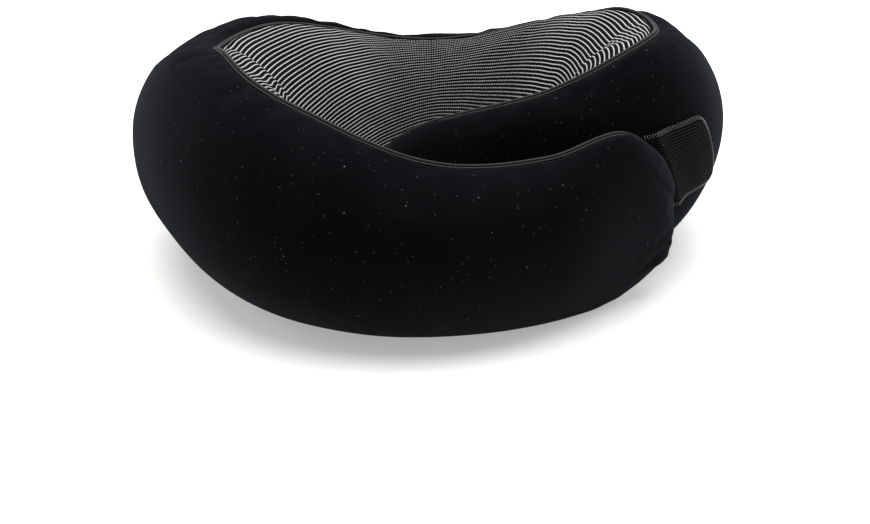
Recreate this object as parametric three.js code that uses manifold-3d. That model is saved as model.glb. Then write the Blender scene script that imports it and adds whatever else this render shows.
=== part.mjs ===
// U-shaped memory-foam neck pillow, wrapped shut: the front arm laps over the tucked arm and a
// hook tab at its tip holds the two together. Millimetres, +Z up, the pillow lies on z = 0.
// +Y is the back of the neck, the arms meet at -Y, and the front arm starts on the -X side.
import * as THREE from 'three';
import { mergeVertices } from 'three/addons/utils/BufferGeometryUtils.js';
import Module from 'manifold-3d';

const wasm = await Module();
wasm.setup();

// ---------------------------------------------------------------- driving dimensions

// The U is an oval tube whose crest runs over these stations. angle is counted in degrees from
// the middle of the back towards the front arm, radius is the crest's distance from the centre
// of the U, height is the crest's height, and outer and inner are the tube's half widths.
const STATIONS = [
  { angle: -214, radius: 55, height: 78, outer: 25, inner: 20 },
  { angle: -190, radius: 56, height: 82, outer: 28, inner: 24 },
  { angle: -160, radius: 64, height: 90, outer: 30, inner: 28 },
  { angle: -135, radius: 80, height: 99, outer: 33, inner: 34 },
  { angle: -110, radius: 102, height: 113, outer: 45, inner: 38 },
  { angle: -80, radius: 110, height: 106, outer: 42, inner: 37 },
  { angle: -45, radius: 118, height: 90, outer: 37, inner: 33 },
  { angle: 0, radius: 118, height: 66, outer: 32, inner: 29 },
  { angle: 45, radius: 118, height: 88, outer: 38, inner: 33 },
  { angle: 80, radius: 111, height: 96, outer: 42, inner: 37 },
  { angle: 115, radius: 109, height: 112, outer: 48, inner: 38 },
  { angle: 150, radius: 118, height: 106, outer: 52, inner: 33 },
  { angle: 180, radius: 120, height: 87, outer: 42, inner: 27 },
  { angle: 205, radius: 123, height: 86, outer: 31, inner: 17 },
  { angle: 222, radius: 128, height: 92, outer: 20, inner: 9 },
  { angle: 238, radius: 138, height: 76, outer: 12, inner: 6 },
];
const FLARE = 22;            // how far the crest stands outside the base of the tube
const WAIST = 0.47;          // the tube is widest at this share of its height
const SINK = 4;              // how far the foam flattens where it rests
const TIP_LENGTH = 50;       // the arms round off over this length
const TIP_POWER = 2.4;       // 2 is an ellipse, more is blunter
const LOWER_SEAM = 222;      // the panel's lower seam, in degrees round the tube from the crest

const COVER_THICK = 2;
const LINER_INSET = 3.2;
const LINER_THICK = 0.8;
const FOAM_INSET = 5;
const PIPING_RADIUS = 1.6;
const PIPING_GROOVE = 3.2;   // half width of the slot that the cover and panel leave for it

const HINGE_X = 102;         // the two flex axes stand at x = -HINGE_X and +HINGE_X
const HINGE_Y = 20;
const KNUCKLE_RADIUS = 44;
const KNUCKLE_GAP = 1;
const FRONT_OPENING = 35;    // degrees that the front arm swings out
const TUCKED_OPENING = 8.75;

const ZIP_RADIUS = 134.3;    // the zip runs round the back on a circle about the U's centre
const ZIP_HEIGHT = 22;
const ZIP_SLOPE = 33;        // the cover leans out this much from upright there
const ZIP_HALF_ANGLE = 41;
const COIL_HALF_ANGLE = 38.6;
const STOP_ANGLE = 39.4;
const SLIDER_ANGLE = 36;     // where the closed slider stands

const TAB_ROOT_TOP = -119;   // station angles on the tucked arm
const TAB_ROOT_BOTTOM = -114;
const TAB_END_TOP = -108;
const TAB_END_BOTTOM = -100;
const TAB_TOP = 58;          // degrees round the tube
const TAB_BOTTOM = 96;

// The centre of the pillow's outline on the floor becomes the origin.
const FOOTPRINT_CENTRE = new THREE.Vector2(-1, -6);

// ---------------------------------------------------------------- the shape of the tube

const radians = THREE.MathUtils.degToRad;

// Smooth value through the stations, with the slope at each one taken from its neighbours.
function along(key, angle) {
  const last = STATIONS.length - 1;
  const slope = (i) => {
    const a = STATIONS[Math.max(i - 1, 0)];
    const b = STATIONS[Math.min(i + 1, last)];
    return (b[key] - a[key]) / (b.angle - a.angle);
  };
  let i = 0;
  while (i < last - 1 && angle >= STATIONS[i + 1].angle) i += 1;
  const span = STATIONS[i + 1].angle - STATIONS[i].angle;
  const t = (angle - STATIONS[i].angle) / span;
  const [t2, t3] = [t * t, t * t * t];
  return (2 * t3 - 3 * t2 + 1) * STATIONS[i][key] + (t3 - 2 * t2 + t) * span * slope(i)
    + (3 * t2 - 2 * t3) * STATIONS[i + 1][key] + (t3 - t2) * span * slope(i + 1);
}

function crestPlan(angle) {
  const radius = along('radius', angle);
  return new THREE.Vector2(-radius * Math.sin(radians(angle)), radius * Math.cos(radians(angle)));
}

const FIRST_ANGLE = STATIONS[0].angle;
const LAST_ANGLE = STATIONS.at(-1).angle;
const lengths = [0];         // length of the crest's plan, one entry a degree
for (let angle = FIRST_ANGLE; angle < LAST_ANGLE; angle += 1) {
  lengths.push(lengths.at(-1) + crestPlan(angle).distanceTo(crestPlan(angle + 1)));
}

function lengthAt(angle) {
  const place = THREE.MathUtils.clamp(angle - FIRST_ANGLE, 0, lengths.length - 1.001);
  const i = Math.floor(place);
  return THREE.MathUtils.lerp(lengths[i], lengths[i + 1], place - i);
}

function tipDistance(angle) {
  return Math.min(lengthAt(angle), lengths.at(-1) - lengthAt(angle));
}

// The station angle that lies a given distance from the front arm's or the tucked arm's tip.
function angleFromTip(distance, frontArm) {
  const target = frontArm ? lengths.at(-1) - distance : distance;
  const i = lengths.findIndex((length) => length > target) - 1;
  return FIRST_ANGLE + i + (target - lengths[i]) / (lengths[i + 1] - lengths[i]);
}

function tipScale(angle) {
  const share = THREE.MathUtils.clamp(1 - tipDistance(angle) / TIP_LENGTH, 0, 1);
  return (1 - share ** TIP_POWER) ** (1 / TIP_POWER);
}

// A point of the tube: turn is in degrees round the section, 0 at the crest, 90 outside,
// 180 underneath and 270 inside; inset is how deep the point lies under the cover's face.
function skin(angle, turn, inset) {
  const height = along('height', angle);
  const scale = tipScale(angle);
  const waist = WAIST * height;
  const up = Math.cos(radians(turn));
  const out = Math.sin(radians(turn));
  const halfHeight = (up > 0 ? height - waist : waist + SINK) * scale - inset;
  const halfWidth = along(out > 0 ? 'outer' : 'inner', angle) * scale - inset;
  const z = Math.max(waist + up * Math.max(halfHeight, 0), Math.max(inset, 0));
  const offset = out * Math.max(halfWidth, 0) - FLARE * (1 - z / height);
  const plan = crestPlan(angle);
  const ahead = crestPlan(angle + 0.1).sub(crestPlan(angle - 0.1)).normalize();
  return new THREE.Vector3(plan.x + ahead.y * offset, plan.y - ahead.x * offset, z);
}

// ---------------------------------------------------------------- solids

function geometryFrom(points, triangles) {
  const geometry = new THREE.BufferGeometry();
  geometry.setAttribute('position', new THREE.Float32BufferAttribute(points.flatMap((p) => [...p]), 3));
  let volume = 0;
  for (const [a, b, c] of triangles) {
    volume += points[a].dot(new THREE.Vector3().crossVectors(points[b], points[c]));
  }
  geometry.setIndex(triangles.flatMap(([a, b, c]) => (volume > 0 ? [a, b, c] : [a, c, b])));
  return geometry;
}

function toSolid(geometry) {
  const bare = geometry.clone();
  bare.deleteAttribute('normal');
  bare.deleteAttribute('uv');
  const merged = mergeVertices(bare, 1e-4);
  const mesh = new wasm.Mesh({
    numProp: 3,
    vertProperties: new Float32Array(merged.attributes.position.array),
    triVerts: new Uint32Array(merged.index.array),
  });
  return new wasm.Manifold(mesh);
}

function toGeometry(solid) {
  const mesh = solid.getMesh();
  const geometry = new THREE.BufferGeometry();
  geometry.setAttribute('position', new THREE.BufferAttribute(new Float32Array(mesh.vertProperties), 3));
  geometry.setIndex(new THREE.BufferAttribute(new Uint32Array(mesh.triVerts), 1));
  return geometry;
}

// Rows of points, each row across the piece, as a thick sheet between its two faces. A ring sheet
// closes round the section; both kinds are open tubes or strips that end at their rims.
function sheet(outerRows, innerRows, ring) {
  const width = outerRows[0].length;
  const rows = outerRows.length;
  const points = [...outerRows.flat(), ...innerRows.flat()];
  const at = (layer, row, column) => (layer * rows + row) * width + (column % width);
  const triangles = [];
  const quad = (a, b, c, d) => triangles.push([a, b, c], [a, c, d]);
  const columns = ring ? width : width - 1;
  for (let row = 0; row < rows - 1; row += 1) {
    for (let column = 0; column < columns; column += 1) {
      quad(at(0, row, column), at(0, row + 1, column), at(0, row + 1, column + 1), at(0, row, column + 1));
      quad(at(1, row, column), at(1, row, column + 1), at(1, row + 1, column + 1), at(1, row + 1, column));
    }
    if (!ring) {
      quad(at(0, row, 0), at(1, row, 0), at(1, row + 1, 0), at(0, row + 1, 0));
      const edge = width - 1;
      quad(at(0, row, edge), at(0, row + 1, edge), at(1, row + 1, edge), at(1, row, edge));
    }
  }
  const end = rows - 1;
  for (let column = 0; column < columns; column += 1) {
    quad(at(0, 0, column), at(0, 0, column + 1), at(1, 0, column + 1), at(1, 0, column));
    quad(at(0, end, column), at(1, end, column), at(1, end, column + 1), at(0, end, column + 1));
  }
  return geometryFrom(points, triangles);
}

// A solid through rings of points, closed by a fan at each end.
function loft(rings) {
  const width = rings[0].length;
  const points = rings.flat();
  const triangles = [];
  for (let row = 0; row < rings.length - 1; row += 1) {
    for (let column = 0; column < width; column += 1) {
      const next = (column + 1) % width;
      const [a, b] = [row * width + column, row * width + next];
      triangles.push([a, a + width, b + width], [a, b + width, b]);
    }
  }
  for (const [row, flip] of [[0, false], [rings.length - 1, true]]) {
    const centre = new THREE.Vector3();
    rings[row].forEach((point) => centre.addScaledVector(point, 1 / width));
    points.push(centre);
    for (let column = 0; column < width; column += 1) {
      const a = row * width + column;
      const b = row * width + ((column + 1) % width);
      triangles.push(flip ? [a, points.length - 1, b] : [a, b, points.length - 1]);
    }
  }
  return geometryFrom(points, triangles);
}

// Evenly spaced values, both ends included.
function spread(from, to, steps) {
  return Array.from({ length: steps + 1 }, (_, i) => from + ((to - from) * i) / steps);
}

// ---------------------------------------------------------------- the three stretches of the U

const TURN_STEP = 22.5;      // degrees round the section that each facet takes
const STATION_STEP = 14;     // degrees along the U
const LEAST_TURN = 1.5;      // between two rows of points beside a slot
const OVERLAP = 55;          // arm stretches start at this station angle and are cut back

// Station angles of an arm from its flex joint to a given distance from its tip.
function armAngles(frontArm, fromTip) {
  const side = frontArm ? 1 : -1;
  const round = angleFromTip(TIP_LENGTH, frontArm);
  const steps = Math.round(Math.abs(round - side * OVERLAP) / STATION_STEP);
  const close = [0.68, 0.42, 0.22].map((share) => share * TIP_LENGTH).filter((d) => d > fromTip + 3);
  const tip = [...close, fromTip].map((distance) => angleFromTip(distance, frontArm));
  return [...spread(side * OVERLAP, round, steps), ...tip];
}

const backAngles = spread(-98, 98, 14);

// Degrees round the section that the piping's slot takes beside the crest and the lower seam.
function grooveTurn(angle, key) {
  const reach = Math.max(along(key, angle) * tipScale(angle), PIPING_GROOVE);
  return THREE.MathUtils.radToDeg(Math.min(PIPING_GROOVE / reach, 0.9));
}

// Every layer has its facets at the same turns, so the gaps between layers stay even.
function layerRing(angle, inset) {
  return spread(0, 360, 360 / TURN_STEP).slice(0, -1).map((turn) => skin(angle, turn, inset));
}

// The same turns between two rims, crowded together where a slot takes the place of some.
function turnsBetween(low, high, from, to) {
  const first = Math.floor(low / TURN_STEP) + 1;
  const last = Math.ceil(high / TURN_STEP) - 1;
  const turns = spread(first, last, last - first).map((step) => step * TURN_STEP);
  const inside = turns.map((turn, i) => THREE.MathUtils.clamp(
    turn,
    from + (i + 1) * LEAST_TURN,
    to - (turns.length - i) * LEAST_TURN,
  ));
  return [from, ...inside, to];
}

function foamGeometry(angles) {
  return loft(angles.map((angle) => layerRing(angle, FOAM_INSET)));
}

function linerGeometry(angles) {
  const faces = [LINER_INSET, LINER_INSET + LINER_THICK];
  const [outer, inner] = faces.map((inset) => angles.map((angle) => layerRing(angle, inset)));
  return sheet(outer, inner, true);
}

// The outer shell runs from the crest round the outside and under the tube to the lower seam.
function coverGeometry(angles) {
  const row = (angle, inset) => {
    const from = grooveTurn(angle, 'outer');
    const to = LOWER_SEAM - grooveTurn(angle, 'inner');
    return turnsBetween(0, LOWER_SEAM, from, to).map((turn) => skin(angle, turn, inset));
  };
  return sheet(angles.map((a) => row(a, 0)), angles.map((a) => row(a, COVER_THICK)), false);
}

// The knitted panel lines the inside, from the lower seam back up to the crest.
function panelGeometry(angles) {
  const row = (angle, inset) => {
    const groove = grooveTurn(angle, 'inner');
    const turns = turnsBetween(LOWER_SEAM, 360, LOWER_SEAM + groove, 360 - groove);
    return turns.map((turn) => skin(angle, turn, inset));
  };
  return sheet(angles.map((a) => row(a, 0)), angles.map((a) => row(a, COVER_THICK)), false);
}

function pipingGeometry(points) {
  const circle = new THREE.Shape(spread(0, 300, 5).map((turn) => new THREE.Vector2(
    PIPING_RADIUS * Math.cos(radians(turn)),
    PIPING_RADIUS * Math.sin(radians(turn)),
  )));
  const extrudePath = new THREE.CatmullRomCurve3(points);
  const steps = Math.round(points.length * 1.5);
  return new THREE.ExtrudeGeometry(circle, { steps, extrudePath, bevelEnabled: false });
}

// ---------------------------------------------------------------- flex joints

function cylinder(radius, x) {
  const geometry = new THREE.CylinderGeometry(radius, radius, 300, 72);
  geometry.rotateX(Math.PI / 2);
  geometry.translate(x, HINGE_Y, 0);
  return toSolid(geometry);
}

// Everything in front of a line through the flex axis, turned by the arm's opening.
function frontHalf(x, opening, gap) {
  const size = 700;
  const geometry = new THREE.BoxGeometry(size, size, size);
  geometry.translate(0, gap - size / 2, 0);
  geometry.rotateZ(radians(x < 0 ? -opening : opening));
  geometry.translate(x, HINGE_Y, 0);
  return toSolid(geometry);
}

// An arm keeps its round knuckle; the back gives way to the knuckle and to the arm's swing.
const armSpace = (x) => cylinder(KNUCKLE_RADIUS, x).add(frontHalf(x, 0, 0));
const swingSpace = (x, opening) => cylinder(KNUCKLE_RADIUS + KNUCKLE_GAP, x)
  .add(frontHalf(x, 0, KNUCKLE_GAP))
  .add(frontHalf(x, opening, KNUCKLE_GAP));

const frontArmSpace = armSpace(-HINGE_X);
const tuckedArmSpace = armSpace(HINGE_X);
const swings = swingSpace(-HINGE_X, FRONT_OPENING).add(swingSpace(HINGE_X, TUCKED_OPENING));

// ---------------------------------------------------------------- materials and nodes

const pillow = new THREE.Group();
pillow.position.set(-FOOTPRINT_CENTRE.x, -FOOTPRINT_CENTRE.y, 0);

function material(color, roughness, metalness = 0) {
  return new THREE.MeshStandardMaterial({ color, roughness, metalness });
}

function addNode(name, geometry, finish, parent = pillow) {
  const mesh = new THREE.Mesh(geometry, finish);
  mesh.name = name;
  parent.add(mesh);
  return mesh;
}

const finishes = {
  foam: () => material(0xe8e2d0, 0.95),
  liner: () => material(0xd9d9d6, 0.9),
  cover: () => material(0x08090c, 0.9),
  panel: () => material(0x4c4c4f, 0.9),
  piping: () => material(0x0c0c0e, 0.8),
  webbing: () => material(0x131315, 0.8),
  zip: () => material(0x101012, 0.6),
  metal: () => material(0x2a2a2d, 0.35, 0.8),
  label: () => material(0xd8d8d4, 0.6),
};

// ---------------------------------------------------------------- foam, liner, cover and panel

const SHELL_FROM_TIP = 4;
const LINER_FROM_TIP = 15;
const FOAM_FROM_TIP = 20;

const stretches = [
  { name: 'back', angles: () => backAngles, trim: (solid) => solid.subtract(swings) },
  {
    name: 'front_arm',
    angles: (fromTip) => armAngles(true, fromTip),
    trim: (solid) => solid.intersect(frontArmSpace),
  },
  {
    name: 'tucked_arm',
    angles: (fromTip) => armAngles(false, fromTip),
    trim: (solid) => solid.intersect(tuckedArmSpace),
  },
];

const layers = [
  { name: 'foam', build: foamGeometry, fromTip: FOAM_FROM_TIP },
  { name: 'liner', build: linerGeometry, fromTip: LINER_FROM_TIP },
  { name: 'cover', build: coverGeometry, fromTip: SHELL_FROM_TIP },
  { name: 'panel', build: panelGeometry, fromTip: SHELL_FROM_TIP },
];

// A zip frame puts a piece on the zip line: x runs to the zip's open end and z points outwards.
function zipFrame(angle) {
  const turned = new THREE.Group();
  turned.rotation.z = radians(angle);
  const placed = new THREE.Group();
  placed.position.set(0, ZIP_RADIUS, ZIP_HEIGHT);
  placed.rotation.x = radians(-90 - ZIP_SLOPE);
  turned.add(placed);
  return { turned, placed };
}

// A bar of constant section that follows the zip's circle; section holds [up, out] corners.
function zipBar(section, halfAngle, steps) {
  const slope = radians(ZIP_SLOPE);
  const rings = spread(-halfAngle, halfAngle, steps).map((angle) => section.map(([up, out]) => {
    const radius = ZIP_RADIUS + up * Math.sin(slope) + out * Math.cos(slope);
    const z = ZIP_HEIGHT + up * Math.cos(slope) - out * Math.sin(slope);
    return new THREE.Vector3(-radius * Math.sin(radians(angle)), radius * Math.cos(radians(angle)), z);
  }));
  return loft(rings);
}

function rectangle(low, high, inside, outside) {
  return [[low, inside], [high, inside], [high, outside], [low, outside]];
}

const TAPE_WIDTH = 7.5;
const TAPE_EDGE = 1.6;       // the tapes stop this far from the zip line, where the coil is
const zipSlot = toSolid(zipBar(rectangle(-9.6, 9.6, -8, 8), ZIP_HALF_ANGLE + 0.3, 24));

for (const stretch of stretches) {
  for (const layer of layers) {
    let solid = stretch.trim(toSolid(layer.build(stretch.angles(layer.fromTip))));
    if (layer.name === 'cover' && stretch.name === 'back') solid = solid.subtract(zipSlot);
    addNode(`${layer.name}_${stretch.name}`, toGeometry(solid), finishes[layer.name]());
  }
}

// ---------------------------------------------------------------- piping

function seamPoints(angles, turn) {
  return angles.map((angle) => skin(angle, turn, 0));
}

for (const [name, turn] of [['upper', 0], ['lower', LOWER_SEAM]]) {
  const solid = toSolid(pipingGeometry(seamPoints(backAngles, turn))).subtract(swings);
  addNode(`piping_back_${name}`, toGeometry(solid), finishes.piping());
}

// On an arm the piping runs along the crest, round the tip and back along the lower seam.
const armPiping = [['front_arm', true, frontArmSpace], ['tucked_arm', false, tuckedArmSpace]];
for (const [name, frontArm, space] of armPiping) {
  const angles = armAngles(frontArm, 5);
  const nearTip = angleFromTip(1.6, frontArm);
  const tip = frontArm ? LAST_ANGLE : FIRST_ANGLE;
  const points = [
    ...seamPoints([...angles, nearTip], 0),
    skin(tip, 0, 0),
    ...seamPoints([...angles, nearTip].reverse(), LOWER_SEAM),
  ];
  const solid = toSolid(pipingGeometry(points)).intersect(space);
  addNode(`piping_${name}`, toGeometry(solid), finishes.piping());
}

// ---------------------------------------------------------------- zip round the lower back

const upperTape = rectangle(TAPE_EDGE, TAPE_EDGE + TAPE_WIDTH, -1.2, -0.4);
const lowerTape = rectangle(-TAPE_EDGE - TAPE_WIDTH, -TAPE_EDGE, -1.2, -0.4);
addNode('zip_tape_upper', zipBar(upperTape, ZIP_HALF_ANGLE, 16), finishes.zip());
addNode('zip_tape_lower', zipBar(lowerTape, ZIP_HALF_ANGLE, 16), finishes.zip());
addNode('zip_coil', zipBar(rectangle(-1.2, 1.2, -1.1, 0.9), COIL_HALF_ANGLE, 16), finishes.zip());

for (const [name, angle] of [['zip_stop_closed', STOP_ANGLE], ['zip_stop_open', -STOP_ANGLE]]) {
  const { turned, placed } = zipFrame(angle);
  pillow.add(turned);
  addNode(name, new THREE.BoxGeometry(2.4, 2.4, 2).translate(0, 0, 0.1), finishes.metal(), placed);
}

const SLIDER_LENGTH = 10;
const PULL_AXIS = 4.8;       // height of the pull's pin over the cover
const { turned: sliderTurned, placed: slider } = zipFrame(SLIDER_ANGLE);
pillow.add(sliderTurned);

function sliderGeometry() {
  const channel = new THREE.Shape([[-3.2, 0.1], [-1.7, 0.1], [-1.7, 1.4], [1.7, 1.4], [1.7, 0.1],
    [3.2, 0.1], [3.2, 2.6], [-3.2, 2.6]].map(([up, out]) => new THREE.Vector2(up, out)));
  const body = new THREE.ExtrudeGeometry(channel, { depth: SLIDER_LENGTH, bevelEnabled: false });
  body.translate(0, 0, -SLIDER_LENGTH / 2);
  body.applyMatrix4(new THREE.Matrix4().makeBasis(
    new THREE.Vector3(0, 1, 0),
    new THREE.Vector3(0, 0, 1),
    new THREE.Vector3(1, 0, 0),
  ));
  let solid = toSolid(body);
  for (const side of [-1, 1]) {
    solid = solid.add(toSolid(new THREE.BoxGeometry(3, 0.8, 3.4).translate(0, side * 2, 4)));
  }
  const pin = new THREE.CylinderGeometry(0.8, 0.8, 4.2, 16).translate(0, 0, PULL_AXIS);
  return toGeometry(solid.add(toSolid(pin)));
}

function pullGeometry() {
  const eye = new THREE.CylinderGeometry(1.9, 1.9, 2.4, 20);
  const neck = new THREE.BoxGeometry(4, 2.4, 1.4).translate(2.6, 0, 0);
  const handle = new THREE.BoxGeometry(18, 6.4, 1.4).translate(13, 0, 0);
  const hole = new THREE.CylinderGeometry(1.15, 1.15, 4, 20);
  const solid = toSolid(eye).add(toSolid(neck)).add(toSolid(handle)).subtract(toSolid(hole));
  return toGeometry(solid);
}

addNode('zip_slider', sliderGeometry(), finishes.metal(), slider);
addNode('zip_pull', pullGeometry(), finishes.metal(), slider).position.z = PULL_AXIS;

// ---------------------------------------------------------------- hook tab, loop patch and label

// A strip that lies on the tucked arm. place gives the station angle and the turn round the tube
// for shares along and across the strip; lift gives the height of a face over the cover.
function stripOnSkin(place, lift, thick, steps) {
  const rows = (extra) => spread(0, 1, steps[0]).map((a) => spread(0, 1, steps[1]).map((b) => {
    const [angle, turn] = place(a, b);
    return skin(angle, turn, -(lift(a) + extra));
  }));
  return sheet(rows(thick), rows(0), false);
}

// The tab's end is slanted with rounded corners, and its root stands off to meet the tip's seam.
function tabPlace(margin) {
  return (a, b) => {
    const corner = Math.max(a - 0.86, 0) / 0.14;
    const pull = 0.2 * (1 - Math.sqrt(1 - corner * corner)) + margin;
    const across = pull + (1 - 2 * pull) * b;
    const end = THREE.MathUtils.lerp(TAB_END_TOP, TAB_END_BOTTOM, across);
    const from = THREE.MathUtils.lerp(TAB_ROOT_TOP, TAB_ROOT_BOTTOM, across) + margin * 40;
    const to = end - margin * 25;
    return [THREE.MathUtils.lerp(from, to, a), THREE.MathUtils.lerp(TAB_TOP, TAB_BOTTOM, across)];
  };
}

const tabLift = (base) => (a) => base + 2.2 * Math.max(1 - a / 0.3, 0) ** 2;
addNode('tab_webbing', stripOnSkin(tabPlace(0), tabLift(3.6), 1.3, [10, 6]), finishes.webbing());
addNode('tab_hook_pad', stripOnSkin(tabPlace(0.08), () => 2, 1.1, [7, 5]), finishes.webbing());
addNode('loop_patch', stripOnSkin(tabPlace(0.11), () => 0.4, 0.8, [6, 5]), finishes.webbing());

// A care label sewn on beside the zip's open end.
const labelPlace = (a, b) => [THREE.MathUtils.lerp(-30, -42, a), THREE.MathUtils.lerp(62, 84, b)];
addNode('care_label', stripOnSkin(labelPlace, () => 0.4, 0.4, [3, 3]), finishes.label());

export default pillow;
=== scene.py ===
"""Looks of the wrap-over neck pillow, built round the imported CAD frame.

Design numbers are millimetres and degrees, as in the part's source; meshes are in metres.
"""
import math

import bpy
import numpy as np
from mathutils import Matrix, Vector


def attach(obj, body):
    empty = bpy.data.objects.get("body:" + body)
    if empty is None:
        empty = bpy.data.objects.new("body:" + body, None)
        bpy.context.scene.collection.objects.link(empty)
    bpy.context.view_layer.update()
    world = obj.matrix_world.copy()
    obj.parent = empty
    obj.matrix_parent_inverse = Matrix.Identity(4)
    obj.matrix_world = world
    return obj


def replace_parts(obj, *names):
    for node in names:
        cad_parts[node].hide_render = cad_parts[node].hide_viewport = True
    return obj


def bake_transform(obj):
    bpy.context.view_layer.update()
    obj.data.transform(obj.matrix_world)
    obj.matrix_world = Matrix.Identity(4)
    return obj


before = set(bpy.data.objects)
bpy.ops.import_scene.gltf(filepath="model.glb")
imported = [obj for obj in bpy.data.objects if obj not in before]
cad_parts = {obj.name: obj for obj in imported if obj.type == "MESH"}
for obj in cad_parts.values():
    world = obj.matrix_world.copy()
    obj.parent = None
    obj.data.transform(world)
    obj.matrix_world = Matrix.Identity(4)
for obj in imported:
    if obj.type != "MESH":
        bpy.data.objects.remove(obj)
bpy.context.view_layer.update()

# ---------------------------------------------------------------- driving dimensions

MM = 0.001
ORIGIN = np.array([1.0, 6.0, 0.0])     # the centre of the U, seen from the row's origin

# The U's tube at its stations: angle from the middle of the back, radius and height of the
# crest, outer and inner half widths.
STATIONS = np.array([
    (-214, 55, 78, 25, 20),
    (-190, 56, 82, 28, 24),
    (-160, 64, 90, 30, 28),
    (-135, 80, 99, 33, 34),
    (-110, 102, 113, 45, 38),
    (-80, 110, 106, 42, 37),
    (-56, 116, 98, 38, 34),
    (-45, 118, 91, 37, 33),
    (0, 118, 66, 32, 29),
    (45, 118, 88, 38, 33),
    (80, 111, 96, 42, 37),
    (115, 109, 112, 48, 38),
    (150, 118, 106, 52, 33),
    (180, 120, 87, 42, 27),
    (205, 123, 86, 31, 17),
    (222, 128, 92, 20, 9),
    (238, 138, 76, 12, 6),
], float)
COLUMNS = {"radius": 1, "height": 2, "outer": 3, "inner": 4}
FLARE = 22                 # the tube's foot lies this far inside its crest
WAIST = 0.47               # level of the widest place, as a share of the crest's height
SINK = 4                   # how far the round bottom would reach below the floor, which flattens it
HEADING_SPAN = 14          # degrees over which a section's heading is taken, so that no bend folds
TIP_LENGTH = 50            # each arm rounds off over this much of its crest
TIP_POWER = 2.4            # 2 is a round tip, more is a blunter one
LOWER_SEAM = 222           # where the lower seam lies round the tube

# The upper seam follows the crest, but on the front lobe it runs this many degrees inside it.
SEAM_SHIFTS = [(-220, 0), (5, 0), (30, 8), (52, 11), (75, 9), (98, 8), (118, 4), (136, 0), (240, 0)]

SHELL_THICK = 1.2
PANEL_THICK = 1.0
INNER_CLEAR = 0.3          # the cloth's inner face stays this much over the floor
FRONT, TUCKED = 1, -1
SIDES = {FRONT: "front", TUCKED: "tucked"}
ARM_BODY = {FRONT: "front_arm", TUCKED: "tucked_arm"}

# ---------------------------------------------------------------- the shape of the tube


def between(start, end, share):
    return start + (end - start) * share


def bell(distance, width):
    return np.exp(-((distance / width) ** 2))


def spread(angle, *others):
    """An angle, as floats, and other numbers, all brought to one shape."""
    return np.broadcast_arrays(np.asarray(angle, float), *others)


def run_length(points):
    """Length along a line of points, from the first one."""
    return np.concatenate([[0], np.cumsum(np.linalg.norm(np.diff(points, axis=0), axis=1))])


def through(x, y, place):
    """Smooth curve through points, with the slope at each one taken from its neighbours."""
    x, y = np.asarray(x, float), np.asarray(y, float)
    last = len(x) - 1
    before = np.maximum(np.arange(last + 1) - 1, 0)
    after = np.minimum(np.arange(last + 1) + 1, last)
    slope = (y[after] - y[before]) / (x[after] - x[before])
    i = np.clip(np.searchsorted(x, place, side="right") - 1, 0, last - 1)
    span = x[i + 1] - x[i]
    t = (place - x[i]) / span
    start = (2 * t**3 - 3 * t**2 + 1) * y[i] + (t**3 - 2 * t**2 + t) * span * slope[i]
    end = (3 * t**2 - 2 * t**3) * y[i + 1] + (t**3 - t**2) * span * slope[i + 1]
    return start + end


def along(key, angle):
    return through(STATIONS[:, 0], STATIONS[:, COLUMNS[key]], angle)


def crest_plan(angle):
    radius = along("radius", angle)
    return np.stack([-radius * np.sin(np.radians(angle)), radius * np.cos(np.radians(angle))], -1)


DEGREES = np.arange(STATIONS[0, 0], STATIONS[-1, 0] + 1)
CREST = crest_plan(DEGREES)
LENGTHS = run_length(CREST)


def length_at(angle):
    """Length along the crest's plan from the tucked arm's tip."""
    return np.interp(angle, DEGREES, LENGTHS)


def from_back(angle):
    """Length along the crest's plan from the middle of the back, negative on the tucked side."""
    return length_at(angle) - length_at(0.0)


def tip_distance(angle):
    return np.minimum(length_at(angle), LENGTHS[-1] - length_at(angle))


def tip_scale(angle):
    share = np.clip(1 - tip_distance(angle) / TIP_LENGTH, 0, 1)
    return (1 - share**TIP_POWER) ** (1 / TIP_POWER)


def soft_floor(z, low):
    """z, levelling out where it would fall below low."""
    return low + 0.5 * ((z - low) + np.sqrt((z - low) ** 2 + 4.0))


def skin(angle, turn, inset=0.0):
    """Points of the tube, in metres: turn is 0 at the crest, 90 outside, 180 below, 270 inside."""
    angle, turn, inset = spread(angle, turn, inset)
    height = along("height", angle)
    waist = WAIST * height
    scale = tip_scale(angle)
    up, out = np.cos(np.radians(turn)), np.sin(np.radians(turn))
    half_height = np.where(up > 0, height - waist, waist + SINK) * scale - inset
    half_width = np.where(out > 0, along("outer", angle), along("inner", angle)) * scale - inset
    z = soft_floor(waist + up * np.maximum(half_height, 0), np.maximum(inset, 0))
    offset = out * np.maximum(half_width, 0) - FLARE * (1 - z / height)
    ahead = crest_plan(angle + HEADING_SPAN) - crest_plan(angle - HEADING_SPAN)
    ahead /= np.linalg.norm(ahead, axis=-1, keepdims=True)
    plan = crest_plan(angle)
    points = np.stack([
        plan[..., 0] + ahead[..., 1] * offset,
        plan[..., 1] - ahead[..., 0] * offset,
        z,
    ], -1)
    return (points + ORIGIN) * MM


def unit(vectors):
    return vectors / np.maximum(np.linalg.norm(vectors, axis=-1, keepdims=True), 1e-12)


def skin_normal(angle, turn):
    """Outward normals of the tube."""
    angle, turn = spread(angle, turn)
    forward = skin(angle + 0.5, turn) - skin(angle - 0.5, turn)
    round_it = skin(angle, turn + 1.5) - skin(angle, turn - 1.5)
    return unit(np.cross(round_it, forward))


def seam_turn(angle):
    """Where the upper seam lies round the tube: 0 on the crest, negative inside it."""
    shifts = np.array(SEAM_SHIFTS, float)
    return -through(shifts[:, 0], shifts[:, 1], angle)


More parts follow.
